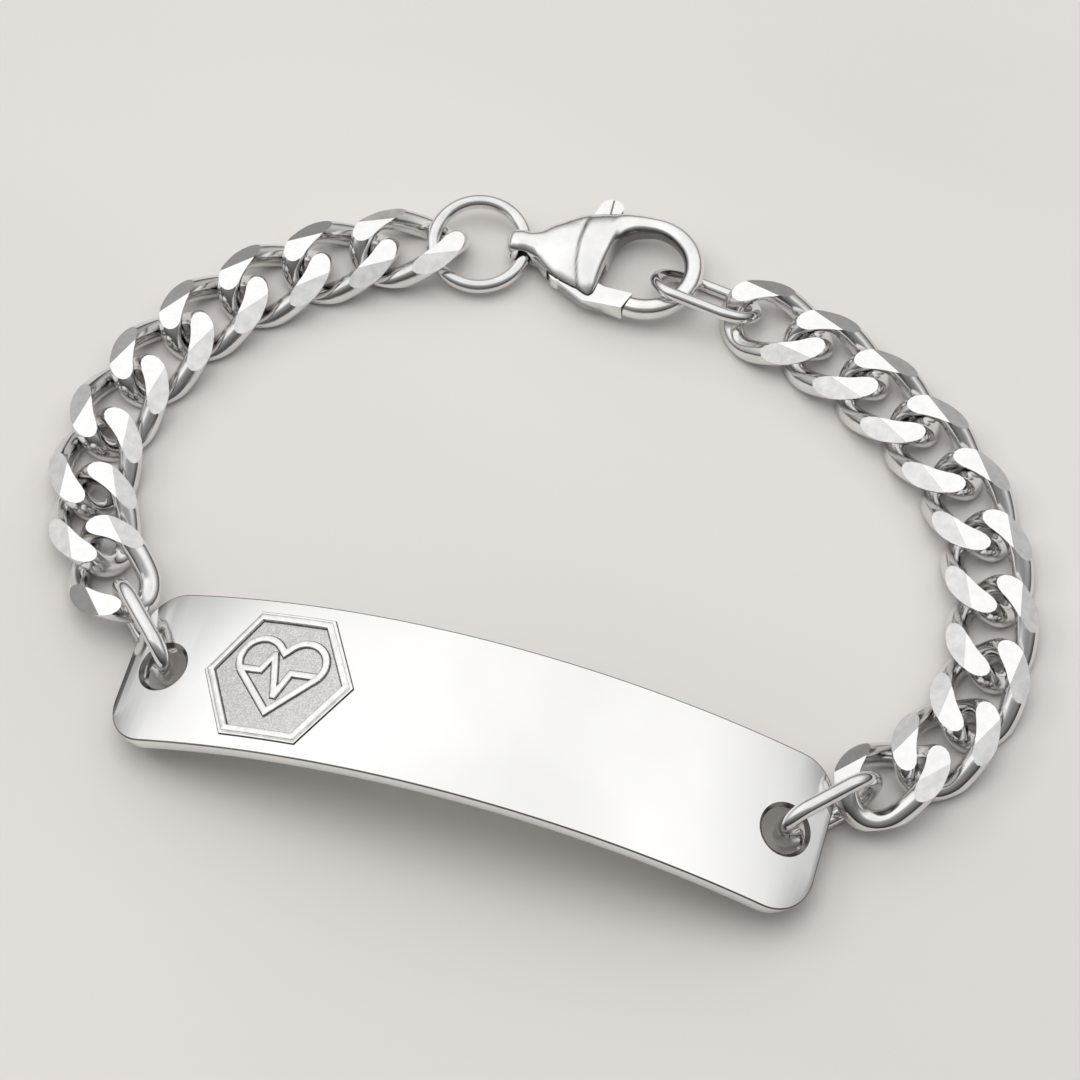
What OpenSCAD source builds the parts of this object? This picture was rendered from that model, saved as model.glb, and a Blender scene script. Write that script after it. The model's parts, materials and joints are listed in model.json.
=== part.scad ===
// Medical alert bracelet, lying on a table, convex side of the plate up.
// X runs along the plate, Y away from it to the clasp, Z up. The origin is under the middle of
// the whole bracelet, on the table. Lengths are in millimetres.

/* [Plate] */
// Length of the plate, along its curve
plate_length = 56; // [50:1:64]
// Width of the plate
plate_width = 12.7; // [11:0.1:16]
// Thickness of the plate
plate_thick = 1.3; // [1:0.1:1.7]
// Radius of the plate's curve, at mid thickness
plate_curve_r = 56; // [50:1:80]
// Radius of the plate's corners
plate_corner_r = 3.4; // [2:0.1:4.5]
// Diameter of the ring hole at each end
hole_d = 3.6; // [3.2:0.1:4]
// Distance of a hole's centre from the plate's end, along the curve
hole_inset = 3.3; // [3:0.1:4.2]
// Width of the bevel around a hole
hole_bevel = 0.3; // [0.1:0.05:0.4]

/* [Emblem] */
// Distance of the emblem's centre from the middle of the plate
emblem_offset = 14.9; // [12:0.1:17]
// Width of the hexagon across its corners
emblem_d = 12; // [9:0.1:12.4]
// Width of the hexagon's rim
rim_w = 0.55; // [0.4:0.05:0.9]
// Height of the rim above the plate
rim_rise = 0.3; // [0.2:0.05:0.5]
// Width of the heart inside the hexagon
heart_w = 7.4; // [5.5:0.1:7.6]
// Width of the raised lines
line_w = 0.5; // [0.35:0.05:0.7]
// Height of the raised lines above the plate
line_rise = 0.25; // [0.15:0.05:0.4]

/* [Chain] */
// Links between the plate's left end and the clasp
left_links = 9; // [7:1:11]
// Links between the clasp and the plate's right end
right_links = 10; // [8:1:12]
// Diameter of a link's wire
link_wire = 2; // [1.8:0.05:2.1]
// Outer width of a link
link_w = 7.3; // [7.1:0.1:8]
// Inner length of a link, before it is twisted
link_inside = 5.9; // [5.75:0.05:6.6]
// Turn of each end of a link against its middle, in degrees
link_twist = 50; // [46:1:54]
// Height of a link between its ground faces
link_h = 2.8; // [2.4:0.1:3.2]
// Width of the flat part of a ground face
flat_w = 4; // [3:0.1:5]
// Slope of the bevels beside the flat part, in degrees
bevel_slope = 24; // [12:1:32]
// Play between two links of the left strand
left_play = 0.3; // [0.15:0.05:0.4]
// Play between two links of the right strand
right_play = 0.35; // [0.15:0.05:0.5]
// Roll of the link that hangs on the left plate ring, in degrees
left_link_roll = 14; // [10:1:18]
// Tip of the link that hangs on the left plate ring, in degrees
left_link_tip = 8.5; // [6:0.5:10]
// Roll of the link that hangs on the right plate ring, in degrees
right_link_roll = 10; // [8:1:16]
// Tip of the link that hangs on the right plate ring, in degrees
right_link_tip = 7; // [5:0.5:9]
// Roll of the link that hangs on the clasp ring, in degrees
clasp_link_roll = 6; // [5:0.5:7]
// Roll of the clasp ring, its far side up, in degrees
clasp_ring_roll = 8; // [6:1:10]
// Play between links that are pushed together beside the plate
bunched_play = 0.65; // [0.4:0.05:0.8]
// Pairs of links that are pushed together on the left
left_bunched = 2; // [0:1:3]
// Pairs of links that are pushed together on the right
right_bunched = 3; // [0:1:4]

/* [Rings] */
// Wire of the plate rings
plate_ring_wire = 1.25; // [1:0.05:1.4]
// Outer length of the plate rings
plate_ring_l = 9.4; // [9:0.1:10.5]
// Outer width of the plate rings
plate_ring_w = 5.9; // [5.6:0.1:6.6]
// Wire of the clasp ring
clasp_ring_wire = 1.15; // [0.9:0.05:1.25]
// Outer diameter of the clasp ring
clasp_ring_d = 8.65; // [8:0.1:10]
// Wire of the catch ring
catch_ring_wire = 1; // [0.8:0.05:1.1]
// Outer length of the catch ring
catch_ring_l = 9.5; // [9:0.1:11]
// Outer width of the catch ring
catch_ring_w = 5.7; // [5.5:0.1:6.4]
// Lean of the catch ring, in degrees
catch_ring_lean = 40; // [36:1:46]
// Play between a small ring and the link that it holds
ring_play = 0.45; // [0.35:0.05:0.5]
// Play between the left plate ring and its link
left_ring_play = 0.4; // [0.1:0.05:0.5]
// Play between the right plate ring and its link
right_ring_play = 0.8; // [0.6:0.05:1.1]

/* [Clasp] */
// Length of the clasp from its tail hole to the far side of its hook
clasp_reach = 14.7; // [13.5:0.1:16]
// Outer diameter of the hook
hook_d = 9.3; // [8.6:0.1:10.5]
// Width of the hook's wire, seen from above
hook_w = 1.55; // [1.3:0.05:1.8]
// Thickness of the hook's wire
hook_h = 1.7; // [1.5:0.05:2]
// Thickness of the clasp's body
clasp_h = 3.4; // [3.2:0.1:4]
// Diameter of the tail hole
tail_hole_d = 1.9; // [1.85:0.05:2]
// Metal around the tail hole
tail_wall = 0.45; // [0.35:0.05:0.7]
// Width of the tail
tail_w = 2.4; // [2:0.1:3]
// Thickness of the lever inside the body
lever_t = 1.2; // [1:0.05:1.4]
// Thickness of the gate outside the body
gate_t = 1.8; // [1.4:0.05:2]
// Width of the gate
gate_w = 1.5; // [1.2:0.05:1.7]
// Diameter of the lever's pivot pin
pin_d = 1; // [0.8:0.05:1.2]
// Running clearance around the pin
pin_clear = 0.05; // [0.03:0.01:0.08]
// Gap between the lever and the sides of its slot
slot_gap = 0.15; // [0.1:0.05:0.2]
// Gap between the gate's end and the hook's tip
gate_gap = 0.12; // [0.1:0.01:0.2]
// Angle that the lever opens through, in degrees
lever_swing = 20; // [15:1:22]
// Slack of the catch ring in the hook
hook_slack = 1.3; // [0.7:0.1:1.4]
// Tip of the clasp, whose hook lies on the catch ring, in degrees
clasp_tip = 2; // [1:0.5:3]

/* [Hidden] */
$fn = 48;
// Small overlap that makes a cut or a joint pass right through
eps = 0.05;

// Turns of a point list and of vectors
function turn(v, a) = [v[0] * cos(a) - v[1] * sin(a), v[0] * sin(a) + v[1] * cos(a)];
function heading(v) = atan2(v[1], v[0]);
function sum(v, n) = n <= 0 ? 0 : v[n - 1] + sum(v, n - 1);

// The plate: its end angle, the angle of a hole, and the height of the curve's centre
end_angle = plate_length / 2 / plate_curve_r * 180 / PI;
hole_angle = (plate_length / 2 - hole_inset) / plate_curve_r * 180 / PI;
plate_under_r = plate_curve_r - plate_thick / 2;
plate_top_r = plate_curve_r + plate_thick / 2;
// The plate's ends lie on the rings' lower wires, with a hair's gap
rest_gap = 0.1;
plate_lift = plate_ring_wire + rest_gap;
curve_z = plate_lift - plate_under_r * cos(end_angle);
hole_x = plate_curve_r * sin(hole_angle);
plate_end_x = plate_top_r * sin(end_angle);

// A link: half length of the wire's centre line, its end radius and its straight part
link_l = link_inside + 2 * link_wire;
link_a = (link_l - link_wire) / 2;
link_b = (link_w - link_wire) / 2;
link_straight = link_a - link_b;
wire_sides = 6;
link_rings = 16;

// Distances between neighbouring stops of the loop: left hole, links, clasp ring, tail hole,
// hook end of the catch ring, links, right hole
plate_ring_a = (plate_ring_l - plate_ring_wire) / 2;
clasp_ring_r = (clasp_ring_d - clasp_ring_wire) / 2;
catch_ring_a = (catch_ring_l - catch_ring_wire) / 2;
hole_to_link = 2 * plate_ring_a + (link_inside - plate_ring_wire) / 2;
clasp_ring_to_link = clasp_ring_r + (link_inside - clasp_ring_wire) / 2 - ring_play;
hook_to_link = 2 * catch_ring_a + (link_inside - catch_ring_wire) / 2 - ring_play;
// The ring's bend is centred in the tail hole
clasp_ring_to_tail = clasp_ring_r - (clasp_ring_r - sqrt(clasp_ring_r ^ 2 - (tail_w / 2) ^ 2)) / 2;
hook_inner_r = hook_d / 2 - hook_w;
hook_x = clasp_reach - hook_d / 2;
// Where the catch ring hangs in the hook, seen from the tail hole
catch_angle = -32;
catch_in_clasp = [hook_x, 0] + (hook_inner_r - hook_slack - catch_ring_wire / 2)
    * [cos(catch_angle), sin(catch_angle)];
left_gaps = [for (i = [1:left_links - 1])
    link_inside - (i <= left_bunched ? bunched_play : left_play)];
right_gaps = [for (i = [1:right_links - 1])
    link_inside - (i >= right_links - right_bunched ? bunched_play : right_play)];
steps = concat(
    [hole_to_link - left_ring_play],
    left_gaps,
    [clasp_ring_to_link, clasp_ring_to_tail, norm(catch_in_clasp), hook_to_link],
    right_gaps,
    [hole_to_link - right_ring_play]
);
loop_l = sum(steps, len(steps));
clasp_ring_stop = left_links + 1;
tail_stop = clasp_ring_stop + 1;
hook_stop = tail_stop + 1;
last_stop = len(steps);

// Chosen points of the chain's way from the left hole to the right hole. X is a share of the
// holes' distance from the middle, Y is stretched until the loop has the pieces' length.
route = [
    [-1.00, 0], [-1.14, 3.1], [-1.28, 6.6], [-1.41, 11], [-1.48, 15.8], [-1.49, 20.8],
    [-1.43, 26], [-1.33, 31], [-1.18, 35.4], [-0.98, 39.3], [-0.75, 42.2], [-0.51, 44.2],
    [-0.36, 44.9], [-0.11, 45.1], [0.12, 44.7], [0.35, 44.1], [0.57, 42.9], [0.80, 40.9],
    [1.00, 38.1], [1.19, 34.6], [1.34, 30.2], [1.43, 25.1], [1.48, 19.9], [1.475, 15.2],
    [1.42, 11.3], [1.30, 7.4], [1.14, 3.3], [1.00, 0]
];
route_parts = 6;

// A smooth curve through the route's points
function bend(a, b, c, d, t) = (2 * b + (c - a) * t + (2 * a - 5 * b + 4 * c - d) * t * t
    + (3 * b - a - 3 * c + d) * t * t * t) / 2;
function way(p) = let (n = len(p) - 1) concat([for (i = [0:n - 1], j = [0:route_parts - 1])
    bend(p[max(i - 1, 0)], p[i], p[i + 1], p[min(i + 2, n)], j / route_parts)], [p[n]]);
function stretched(k) = way([for (q = route) [q[0] * hole_x, q[1] * k]]);
function lengths(p) = [for (i = 0, s = 0; i < len(p);
    s = s + (i + 1 < len(p) ? norm(p[i + 1] - p[i]) : 0), i = i + 1) s];
function way_l(k) = let (s = lengths(stretched(k))) s[len(s) - 1];
// The stretch at which the way is as long as the pieces, by halving
function solve(lo, hi, n) = let (mid = (lo + hi) / 2)
    n == 0 ? mid : way_l(mid) < loop_l ? solve(mid, hi, n - 1) : solve(lo, mid, n - 1);
loop_way = stretched(solve(0.5, 2, 18));
way_at = lengths(loop_way);
function spot(s, i = 1) = i >= len(way_at) - 1 || way_at[i] >= s
    ? loop_way[i - 1] + (loop_way[i] - loop_way[i - 1])
        * (s - way_at[i - 1]) / (way_at[i] - way_at[i - 1])
    : spot(s, i + 1);
stops = [for (i = [0:last_stop]) spot(sum(steps, i))];
function stop_heading(i) = heading(stops[i + 1] - stops[i - 1]);

// Heights above the table
link_z = link_h / 2;
// The tipped clasp stands on its body where that first has its full thickness
clasp_foot = 0.42;
clasp_z = clasp_h / 2 * cos(clasp_tip) - clasp_foot * hook_x * sin(clasp_tip);
plate_ring_z = plate_ring_w / 2;
catch_ring_z = catch_ring_wire / 2
    + (catch_ring_w - catch_ring_wire) / 2 * sin(catch_ring_lean);
// A rolled link stands on the edge of its ground face
function rolled_z(a) = link_h / 2 * cos(a) + flat_w / 2 * sin(abs(a));
// Link number i, counted from 1 at the plate's left end, with its stop, height, tip and roll
link_count = left_links + right_links;
function link_stop(i) = i <= left_links ? i : i - left_links + hook_stop;
function link_roll(i) = i == 1 ? -left_link_roll : i == link_count ? right_link_roll
    : i == left_links ? -clasp_link_roll : 0;
// The links beside the plate lie with their tips over the rings' lower wires, and each next
// link still leans on its neighbour, by a share of that one's tip and height
left_lift = 0.75;
right_lift = 0.45;
next_share = 0.28;
function end_share(i) = let (n = min(i, link_count + 1 - i)) n == 1 ? 1 : n == 2 ? next_share : 0;
function end_tip(i) = i < link_count / 2 ? left_link_tip : right_link_tip;
function end_z(i) = plate_ring_wire + link_wire / 2 - link_a * sin(end_tip(i))
    + (i < link_count / 2 ? left_lift : right_lift);
function link_height(i) = end_share(i) == 0 ? rolled_z(link_roll(i))
    : link_z + (end_z(i) - link_z) * end_share(i);
function link_spot(i) = concat(stops[link_stop(i)], link_height(i));
function link_tip(i) = (i < link_count / 2 ? -1 : 1) * end_tip(i) * end_share(i);

function link_name(i) = str("link_", i < 10 ? "0" : "", i);

// Points of a link's twisted wire, ring by ring
perimeter = 2 * PI * link_b + 4 * link_straight;
quarter = PI * link_b / 2;
function oval(s) =
    s < quarter ? [link_straight + link_b * cos(s / link_b * 180 / PI),
        link_b * sin(s / link_b * 180 / PI)]
    : s < quarter + 2 * link_straight ? [link_straight - (s - quarter), link_b]
    : s < 3 * quarter + 2 * link_straight ? let (a = (s - 2 * link_straight) / link_b * 180 / PI)
        [-link_straight + link_b * cos(a), link_b * sin(a)]
    : s < 3 * quarter + 4 * link_straight
        ? [-link_straight + s - 3 * quarter - 2 * link_straight, -link_b]
    : let (a = (s - 4 * link_straight) / link_b * 180 / PI)
        [link_straight + link_b * cos(a), link_b * sin(a)];
function twisted(p) = let (a = -link_twist * p[0] / link_a)
    [p[0], p[1] * cos(a), p[1] * sin(a)];
function unit(v) = v / norm(v);
function wire_ring(s) = let (
    step = perimeter / 400,
    p = oval(s),
    q = oval((s + step) % perimeter),
    o = oval((s - step + perimeter) % perimeter),
    flat = unit(q - o),
    a = -link_twist * p[0] / link_a,
    along = unit(twisted(q) - twisted(o)),
    out = [flat[1], -flat[0] * cos(a), -flat[0] * sin(a)],
    side = unit(out - along * (along * out)),
    up = cross(along, side)
) [for (j = [0:wire_sides - 1]) twisted(p)
    + link_wire / 2 * (side * cos(j * 360 / wire_sides) + up * sin(j * 360 / wire_sides))];
link_skin = [for (k = [0:link_rings - 1], v = wire_ring(k * perimeter / link_rings)) v];
link_faces = [for (k = [0:link_rings - 1], j = [0:wire_sides - 1]) let (
    k2 = (k + 1) % link_rings * wire_sides,
    j2 = (j + 1) % wire_sides
) each [[k * wire_sides + j, k2 + j, k * wire_sides + j2],
    [k * wire_sides + j2, k2 + j, k2 + j2]]];

// The ground faces: a flat with a bevel on both sides, above and below
grind_over = 0.2;
grind_y = link_w / 2 + grind_over;
grind_z = link_h / 2 - (grind_y - flat_w / 2) * tan(bevel_slope);
grind_shape = [[-flat_w / 2, link_h / 2], [-grind_y, grind_z], [-grind_y, -grind_z],
    [-flat_w / 2, -link_h / 2], [flat_w / 2, -link_h / 2], [grind_y, -grind_z],
    [grind_y, grind_z], [flat_w / 2, link_h / 2]];

// Moves what follows to a spot, turned by a heading, tipped up in front and rolled
module place(at, turned = 0, tipped = 0, rolled = 0)
    translate(at) rotate([0, 0, turned]) rotate([0, -tipped, 0]) rotate([rolled, 0, 0])
        children();

// Closed oval or round ring of wire, flat on its own middle plane, long along X
module wire_oval(l, w, wire) {
    bend_r = (w - wire) / 2;
    half = (l - w) / 2;
    for (side = [0, 180]) rotate([0, 0, side]) {
        translate([half, 0, 0]) rotate([0, 0, -90])
            rotate_extrude(angle = 180) translate([bend_r, 0]) circle(d = wire);
        if (half > 0) translate([-half, bend_r, 0]) rotate([0, 90, 0])
            cylinder(d = wire, h = 2 * half);
    }
}

// Plate: a curved band. Its rounded ends are cut square to the curve.
module rounded_outline(l, w, r) {
    square([l - 2 * r, w], center = true);
    square([l, w - 2 * r], center = true);
    for (x = [-1, 1], y = [-1, 1])
        translate([x * (l / 2 - r), y * (w / 2 - r)]) circle(r = r);
}
module curve_drum(r) translate([0, 0, curve_z]) rotate([90, 0, 0])
    cylinder(r = r, h = 2 * plate_width, center = true, $fn = 360);
module on_plate(angle) translate([0, 0, curve_z]) rotate([0, angle, 0]) children();
end_l = 4 * plate_corner_r;
module plate_outline() {
    linear_extrude(height = plate_curve_r)
        square([2 * (plate_end_x - end_l / 2), plate_width], center = true);
    for (side = [-1, 1]) on_plate(side * end_angle)
        translate([-side * end_l / 2, 0, plate_under_r - plate_thick])
            linear_extrude(height = 3 * plate_thick)
                rounded_outline(end_l, plate_width, plate_corner_r);
}
module ring_hole() {
    cylinder(d = hole_d, h = 2 * plate_top_r);
    translate([0, 0, plate_top_r - hole_bevel])
        cylinder(d1 = hole_d, d2 = hole_d + 4 * hole_bevel, h = 2 * hole_bevel);
    translate([0, 0, plate_under_r - hole_bevel])
        cylinder(d1 = hole_d + 4 * hole_bevel, d2 = hole_d, h = 2 * hole_bevel);
}
module plate_blank() difference() {
    intersection() {
        curve_drum(plate_top_r);
        plate_outline();
    }
    curve_drum(plate_under_r);
    for (side = [-1, 1]) on_plate(side * hole_angle) ring_hole();
}

// Emblem: a raised hexagonal rim around a raised heart outline with a pulse line.
// A heart is two lobes and a tip, in shares of its width.
lobe_y = 0.185;
lobe_start = -43;
lobe_end = 165;
lobe_steps = 10;
heart_tip = [0, -0.435];
function lobe(side, from, to) = [for (i = [0:lobe_steps])
    let (a = from + i * (to - from) / lobe_steps)
    [side + cos(a), 4 * lobe_y + sin(a)] / 4];
module heart(w) polygon(w * concat(lobe(1, lobe_start, lobe_end),
    lobe(-1, 180 - lobe_end, 180 - lobe_start), [heart_tip]));
module bar(a, b, w) translate(a) rotate(heading(b - a)) translate([-w / 4, -w / 2])
    square([norm(b - a) + w / 2, w]);
// Bends of the pulse line, as shares of the heart's width
pulse = [[-0.46, 0.05], [-0.2, 0.05], [-0.1, 0.24], [0.03, -0.22], [0.13, 0.05], [0.46, 0.05]];
// Raised shape that follows the plate's curve and is rooted inside the plate
emblem_root = sqrt(plate_curve_r ^ 2 - (emblem_d / 2) ^ 2);
module relief(height) intersection() {
    translate([0, 0, emblem_root]) linear_extrude(height = emblem_d) children();
    rotate([90, 0, 0])
        cylinder(r = plate_top_r + height, h = 2 * plate_width, center = true, $fn = 360);
}
module emblem() {
    relief(rim_rise) difference() {
        circle(d = emblem_d, $fn = 6);
        circle(d = emblem_d - 2 * rim_w / cos(30), $fn = 6);
    }
    relief(line_rise) {
        difference() {
            heart(heart_w);
            heart(heart_w - 2 * line_w);
        }
        for (i = [1:len(pulse) - 1])
            bar(pulse[i - 1] * heart_w, pulse[i] * heart_w, line_w);
    }
}

// Clasp: sections from the tail to the hook's tip. Each row is [x as a share of the hook's
// distance, near edge and far edge as shares of the hook's radius, thickness as a share].
body_rows = [
    [0.12, -0.30, 0.33, 0.80], [0.20, -0.45, 0.50, 0.87], [0.30, -0.61, 0.65, 0.94],
    [clasp_foot, -0.72, 0.80, 1.00], [0.54, -0.83, 0.88, 1.00], [0.60, -0.82, 0.92, 0.97],
    [0.64, -0.67, 0.94, 0.92], [0.67, -0.43, 0.95, 0.87], [0.69, -0.13, 0.96, 0.82],
    [0.71, 0.15, 0.97, 0.76], [0.76, 0.40, 0.98, 0.70], [0.83, 0.56, 0.99, 0.62],
    [0.92, 0.64, 1.00, 0.56]
];
// Rows of the tail: [x, half width, thickness] as shares of the tail's own size
tail_rows = [[-1, 0.36, 0.45], [-0.8, 0.8, 0.82], [-0.4, 0.98, 1], [0.4, 1, 1]];
hook_turns = 13;
tip_outer_angle = -101.5;
tip_inner_angle = -96;
body_sides = 20;
body_round = 2.5;
tail_end = tail_hole_d / 2 + tail_wall;
hook_r = hook_d / 2;
hook_middle = [hook_x, 0];
function fan(r, a) = hook_middle + r * [cos(a), sin(a)];
tail_sections = [for (r = tail_rows) [[r[0] * tail_end, -r[1] * tail_w / 2],
    [r[0] * tail_end, r[1] * tail_w / 2], r[2] * 2 * tail_end]];
body_sections = [for (r = body_rows) [[r[0] * hook_x, r[1] * hook_r],
    [r[0] * hook_x, r[2] * hook_r], r[3] * clasp_h]];
hook_sections = [for (k = [0:hook_turns]) let (t = k / hook_turns)
    [fan(hook_inner_r, 90 + t * (tip_inner_angle - 90)),
     fan(hook_r, 90 + t * (tip_outer_angle - 90)), hook_h]];
clasp_sections = concat(tail_sections, body_sections, hook_sections);
function blunt(c) = sign(c) * pow(abs(c), 2 / body_round);
function section_ring(q) = [for (j = [0:body_sides - 1]) let (
    a = j * 360 / body_sides,
    p = (q[0] + q[1] + (q[1] - q[0]) * blunt(cos(a))) / 2
) [p[0], p[1], q[2] / 2 * blunt(sin(a))]];
module skin(sections) {
    n = len(sections);
    polyhedron(
        points = [for (q = sections, v = section_ring(q)) v],
        faces = concat(
            [[for (j = [0:body_sides - 1]) j]],
            [for (i = [0:n - 2], j = [0:body_sides - 1]) let (
                a = i * body_sides, b = a + body_sides, j2 = (j + 1) % body_sides)
                each [[a + j, b + j, a + j2], [a + j2, b + j, b + j2]]],
            [[for (j = [body_sides - 1:-1:0]) (n - 1) * body_sides + j]]
        )
    );
}

// Lever: hub on the pin, gate along the near side, arm up to the thumb tab on the far side
pivot = [0.34 * hook_x, -0.45 * hook_r];
hub_wall = 0.4;
hub_r = pin_d / 2 + hub_wall;
slot_h = lever_t + 2 * slot_gap;
gate_top = fan(hook_inner_r, tip_inner_angle) - [gate_gap, 0];
gate_end = fan(hook_r, tip_outer_angle) - [gate_gap, 0];
gate_rise = 0.35;
gate_root = [0.72 * hook_x, gate_top[1] + gate_rise];
gate_foot = gate_root - [0, gate_w + 0.1];
gate_lap = 0.5;
tab_stand = 0.35;
tab_r = 0.75;
tab = [0.62 * hook_x, hook_r + tab_stand - 0.3 * tab_r];
arm_w = 1.2;
arm_top = hook_r - 0.2;
// Right edge of the arm at a given height
function arm_edge(y) = pivot[0] + hub_r + (tab[0] + arm_w / 2 - pivot[0] - hub_r)
    * (y - pivot[1]) / (arm_top - pivot[1]);
module gate_outline(lap) polygon([gate_root - [lap, 0], gate_top, gate_end, gate_foot - [lap, 0]]);
module lever_outline() {
    translate(pivot) circle(r = hub_r);
    gate_outline(gate_lap);
    polygon([pivot - [0, hub_r], pivot + [0.4, 0.8] * hub_r, gate_root, gate_foot,
        gate_foot - [3 * gate_lap, 0]]);
    polygon([pivot - [hub_r, 0], pivot + [hub_r, 0], [tab[0] + arm_w / 2, arm_top],
        [tab[0] - arm_w / 2, arm_top]]);
    translate(tab) circle(r = tab_r);
}
// The slot leaves room for the lever's swing and ends beside the arm
module lever_slot() {
    open_tab = pivot + turn(tab - pivot, lever_swing);
    left = min(pivot[0] - hub_r, open_tab[0] - tab_r) - slot_gap;
    right = tab[0] + tab_r + slot_gap;
    near_right = 0.8 * hook_x;
    rib_y = -0.13 * hook_r;
    far = clasp_reach;
    linear_extrude(height = slot_h, center = true)
        polygon([[left, -far], [left, far], [right, far], [right, 0.85 * hook_r],
            [arm_edge(rib_y) + slot_gap, rib_y], [near_right, rib_y], [near_right, -far]]);
}
module clasp_body_shape() {
    difference() {
        skin(clasp_sections);
        rotate([90, 0, 0]) cylinder(d = tail_hole_d, h = 2 * tail_w, center = true);
        lever_slot();
    }
    translate(pivot) cylinder(d = pin_d, h = slot_h + 2 * eps, center = true);
}
module clasp_lever_shape() difference() {
    union() {
        linear_extrude(height = lever_t, center = true) lever_outline();
        linear_extrude(height = gate_t, center = true) gate_outline(0);
    }
    translate(pivot) cylinder(d = pin_d + 2 * pin_clear, h = 2 * gate_t, center = true);
}

// Places of the loop's pieces
tail_at = stops[tail_stop];
clasp_turn = heading(stops[hook_stop] - tail_at) - heading(catch_in_clasp);
catch_turn = heading(stops[hook_stop + 1] - stops[hook_stop]);
catch_at = stops[hook_stop] + turn([catch_ring_a, 0], catch_turn);
left_turn = heading(stops[1] - stops[0]);
right_turn = heading(stops[last_stop - 1] - stops[last_stop]);
clasp_ring_turn = heading(tail_at - stops[clasp_ring_stop]);
clasp_ring_z = (link_height(left_links) + clasp_z) / 2;
clasp_ring_tip = asin((clasp_z - clasp_ring_z) / clasp_ring_to_tail);

// Middle of the bracelet's outline, which is put over the origin
function placed(v, i) = let (
    r = turn([v[1], v[2]], link_roll(i)),
    t = turn([v[0], r[1]], link_tip(i))
) turn([t[0], r[0]], stop_heading(link_stop(i))) + stops[link_stop(i)];
link_reach = [for (i = [1:link_count], v = link_skin) placed(v, i)[0]];
tab_reach = tail_at[1] + turn(tab, clasp_turn)[1] + tab_r;
middle = [(min(link_reach) + max(link_reach)) / 2, (tab_reach - plate_width / 2) / 2, 0];
module in_frame() translate(-middle) children();

module id_plate() color("silver") in_frame() {
    plate_blank();
    on_plate(-emblem_offset / plate_curve_r * 180 / PI) emblem();
}
module plate_ring(at, turned) color("gainsboro") in_frame()
    place(concat(at + turn([plate_ring_a, 0], turned), plate_ring_z), turned, 0, 90)
        wire_oval(plate_ring_l, plate_ring_w, plate_ring_wire);
module plate_ring_left() plate_ring(stops[0], left_turn);
module plate_ring_right() plate_ring(stops[last_stop], right_turn);
module clasp_ring() color("gainsboro") in_frame()
    place(concat(stops[clasp_ring_stop], clasp_ring_z), clasp_ring_turn, clasp_ring_tip,
        clasp_ring_roll)
        wire_oval(clasp_ring_d, clasp_ring_d, clasp_ring_wire);
module catch_ring() color("gainsboro") in_frame()
    place(concat(catch_at, catch_ring_z), catch_turn, 0, -catch_ring_lean)
        wire_oval(catch_ring_l, catch_ring_w, catch_ring_wire);
module clasp_body() color("lightgray") in_frame()
    place(concat(tail_at, clasp_z), clasp_turn, clasp_tip) clasp_body_shape();
module clasp_lever() color("darkgray") in_frame()
    place(concat(tail_at, clasp_z), clasp_turn, clasp_tip) clasp_lever_shape();
module chain_link(i) color("silver") in_frame()
    place(link_spot(i), stop_heading(link_stop(i)), link_tip(i), link_roll(i)) intersection() {
        polyhedron(points = link_skin, faces = link_faces);
        rotate([90, 0, 90]) linear_extrude(height = 2 * link_l, center = true)
            polygon(grind_shape);
    }

id_plate();
plate_ring_left();
plate_ring_right();
clasp_ring();
catch_ring();
clasp_body();
clasp_lever();
for (i = [1:link_count]) chain_link(i);
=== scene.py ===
"""Looks of a medical alert bracelet that lies closed in a loop on a table.

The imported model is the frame, and every piece here stands for one of its nodes. Pieces are
modelled in millimetres at the middle of the bench, then put in place and turned to metres.
"""

import json
import logging
import math
from dataclasses import dataclass, field
from enum import Enum
from typing import Callable, Sequence

import bmesh
import bpy
import numpy as np
from mathutils import Matrix, Vector


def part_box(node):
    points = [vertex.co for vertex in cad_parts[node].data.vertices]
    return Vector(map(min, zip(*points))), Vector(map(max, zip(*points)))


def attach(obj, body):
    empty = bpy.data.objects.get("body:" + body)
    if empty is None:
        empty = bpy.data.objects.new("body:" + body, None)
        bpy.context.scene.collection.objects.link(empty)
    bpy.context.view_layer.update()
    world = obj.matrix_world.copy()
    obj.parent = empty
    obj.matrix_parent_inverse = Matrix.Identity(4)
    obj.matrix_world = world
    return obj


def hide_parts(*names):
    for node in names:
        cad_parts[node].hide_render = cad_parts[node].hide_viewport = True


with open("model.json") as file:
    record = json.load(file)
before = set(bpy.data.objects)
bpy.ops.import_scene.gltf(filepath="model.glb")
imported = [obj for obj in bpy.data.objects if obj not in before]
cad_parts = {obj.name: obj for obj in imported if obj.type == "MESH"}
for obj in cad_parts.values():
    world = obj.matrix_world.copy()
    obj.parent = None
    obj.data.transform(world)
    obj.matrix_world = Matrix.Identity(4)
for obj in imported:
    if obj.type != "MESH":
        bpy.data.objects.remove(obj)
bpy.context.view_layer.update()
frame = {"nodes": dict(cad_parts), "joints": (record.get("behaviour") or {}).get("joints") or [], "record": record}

LOG = logging.getLogger("bracelet")
Point = Sequence[float]
Piece = bpy.types.Object

MM = 0.001
# Distance in millimetres that tells two levels or two ends apart.
HAIR = 0.01
# A face looks up where its normal's Z is over FACING, and is a wall where it is under WALL.
FACING = 0.9
WALL = 0.1


# Bench work: adding, selecting, cutting and placing

def clear_selection() -> None:
    """Leave edit mode and deselect every object."""
    if bpy.context.mode != "OBJECT":
        bpy.ops.object.mode_set(mode="OBJECT")
    bpy.ops.object.select_all(action="DESELECT")


def pick(*pieces: Piece) -> None:
    """Select some objects alone.

    Args:
        pieces: the objects, of which the first one becomes active.
    """
    clear_selection()
    for piece in pieces:
        piece.select_set(True)
    bpy.context.view_layer.objects.active = pieces[0]


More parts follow.
